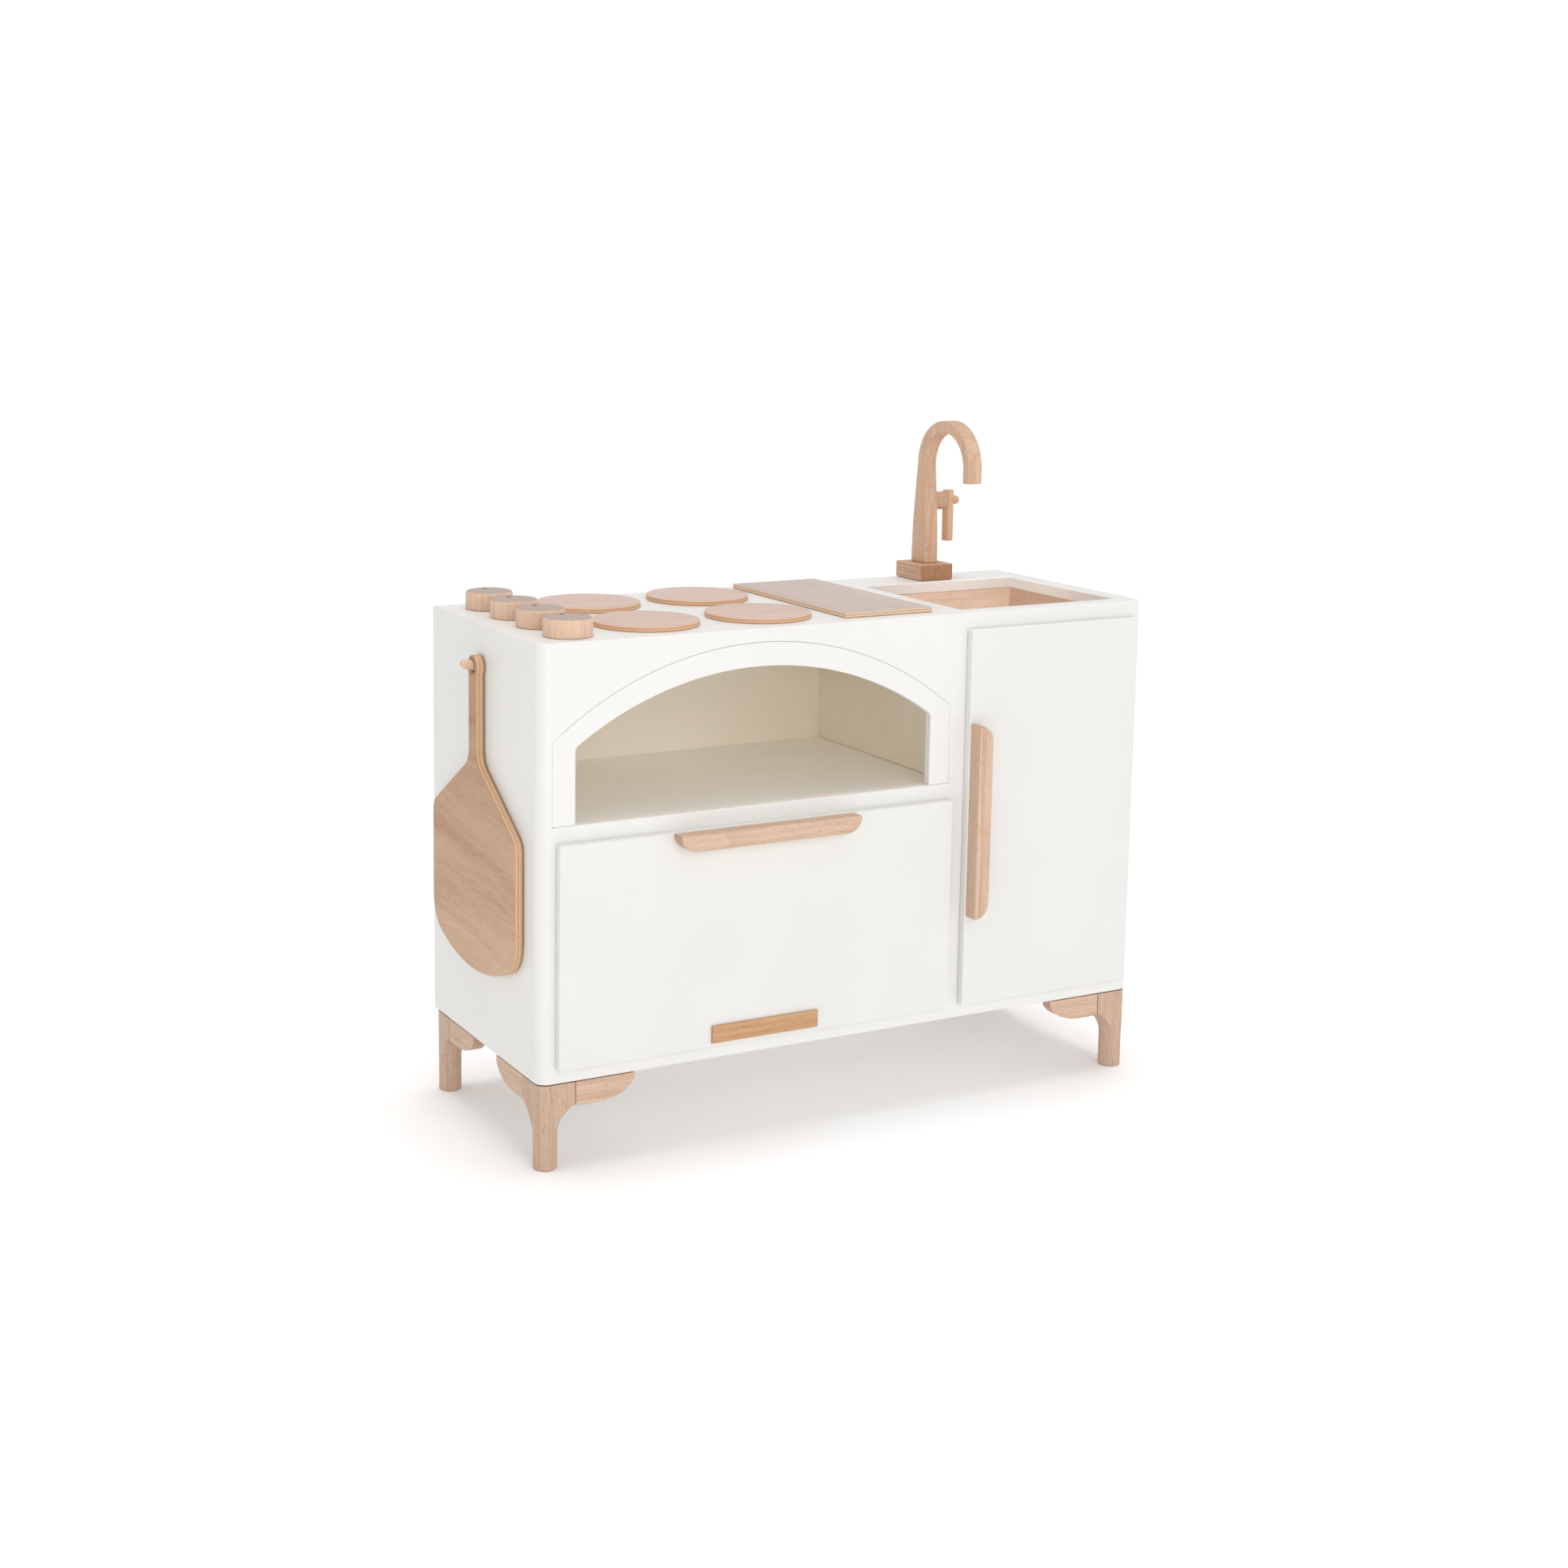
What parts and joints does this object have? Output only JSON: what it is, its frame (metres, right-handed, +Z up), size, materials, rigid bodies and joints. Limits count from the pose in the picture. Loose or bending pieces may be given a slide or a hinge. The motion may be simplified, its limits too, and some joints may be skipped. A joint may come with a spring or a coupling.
{
  "type": "toy kitchen",
  "caption": "Wooden toy kitchen on legs: arched open oven, pull-out drawer, hinged cupboard, sink with swivel tap, hob discs, turning knobs, loose cutting board and hanging pizza peel.",
  "frame": {"origin": "on the floor, under the middle of the overall box", "axes": "+X to the kitchen's right seen from the front, +Y to the back, +Z up"},
  "size_m": [0.9432, 0.377, 0.9007],
  "materials": {
    "painted_wood": "satin cream-white paint over smooth wood panel",
    "beech": "clear matt oil on solid beech, fine flecked grain",
    "ply_face": "clear matt finish on beech-faced plywood with visible layered edge",
    "plywood": "sanded birch plywood",
    "steel": "nickel-plated steel"
  },
  "bodies": {
    "cabinet": {"side_panel_left": "painted_wood", "side_panel_right": "painted_wood", "bottom_panel": "painted_wood", "back_panel": "painted_wood", "centre_divider": "painted_wood", "oven_shelf": "painted_wood", "counter_top": "painted_wood", "face_frame": "painted_wood", "arch_surround": "painted_wood", "leg_front_left": "beech", "leg_wing_front_left_front": "beech", "leg_wing_front_left_side": "beech", "leg_front_right": "beech", "leg_wing_front_right_side": "beech", "leg_wing_front_right_front": "beech", "leg_back_right": "beech", "leg_wing_back_right_back": "beech", "leg_wing_back_right_side": "beech", "leg_back_left": "beech", "leg_wing_back_left_side": "beech", "leg_wing_back_left_back": "beech", "drawer_runner_left": "beech", "drawer_runner_right": "beech", "door_hinge_arm_lower": "steel", "door_hinge_arm_upper": "steel", "door_magnet": "beech", "sink_basin": "beech", "hob_disc_front_left": "ply_face", "hob_disc_front_right": "ply_face", "hob_disc_back_left": "ply_face", "hob_disc_back_right": "ply_face", "tap_base": "beech", "peel_peg": "beech"},
    "drawer": {"drawer_front": "painted_wood", "drawer_handle": "beech", "nameplate": "ply_face", "drawer_side_left": "plywood", "drawer_side_right": "plywood", "drawer_back": "plywood", "drawer_bottom": "plywood"},
    "door": {"door_panel": "painted_wood", "door_handle": "beech", "door_hinge_cup_lower": "steel", "door_hinge_cup_upper": "steel", "door_strike_plate": "steel"},
    "turning_knob_1": {"knob_1": "beech", "knob_axle_1": "beech"},
    "turning_knob_2": {"knob_2": "beech", "knob_axle_2": "beech"},
    "turning_knob_3": {"knob_3": "beech", "knob_axle_3": "beech"},
    "turning_knob_4": {"knob_4": "beech", "knob_axle_4": "beech"},
    "board": {"cutting_board": "ply_face"},
    "tap": {"tap_spout": "beech", "tap_lever_boss": "beech", "tap_lever_pin": "beech"},
    "lever": {"tap_lever": "beech"},
    "peel": {"pizza_peel": "ply_face"}
  },
  "joints": [
    {"name": "drawer_slide", "type": "slide", "parent": "cabinet", "child": "drawer", "axis": [0, -1, 0], "range_m": [0, 0.25]},
    {"name": "door_hinge", "type": "hinge", "parent": "cabinet", "child": "door", "pos_m": [0.45458, -0.16075, 0.38875], "axis": [0, 0, 1], "range_deg": [0, 100]},
    {"name": "knob_1_turn", "type": "hinge", "parent": "cabinet", "child": "turning_knob_1", "pos_m": [-0.38192, -0.10595, 0.679], "axis": [0, 0, 1], "continuous": true},
    {"name": "knob_2_turn", "type": "hinge", "parent": "cabinet", "child": "turning_knob_2", "pos_m": [-0.38192, -0.02435, 0.679], "axis": [0, 0, 1], "continuous": true},
    {"name": "knob_3_turn", "type": "hinge", "parent": "cabinet", "child": "turning_knob_3", "pos_m": [-0.38192, 0.05725, 0.679], "axis": [0, 0, 1], "continuous": true},
    {"name": "knob_4_turn", "type": "hinge", "parent": "cabinet", "child": "turning_knob_4", "pos_m": [-0.38192, 0.13885, 0.679], "axis": [0, 0, 1], "continuous": true},
    {"name": "board_lift", "type": "slide", "parent": "cabinet", "child": "board", "axis": [0, 0, 1], "range_m": [0, 0.1]},
    {"name": "tap_swivel", "type": "hinge", "parent": "cabinet", "child": "tap", "pos_m": [0.31808, 0.15655, 0.691], "axis": [0, 0, 1], "range_deg": [-90, 90]},
    {"name": "lever_turn", "type": "hinge", "parent": "tap", "child": "lever", "pos_m": [0.35788, 0.15655, 0.78], "axis": [-1, 0, 0], "range_deg": [-90, 90]},
    {"name": "peel_swing", "type": "hinge", "parent": "cabinet", "child": "peel", "pos_m": [-0.44962, 0.02355, 0.6125], "axis": [1, 0, 0], "range_deg": [-25, 25]}
  ]
}
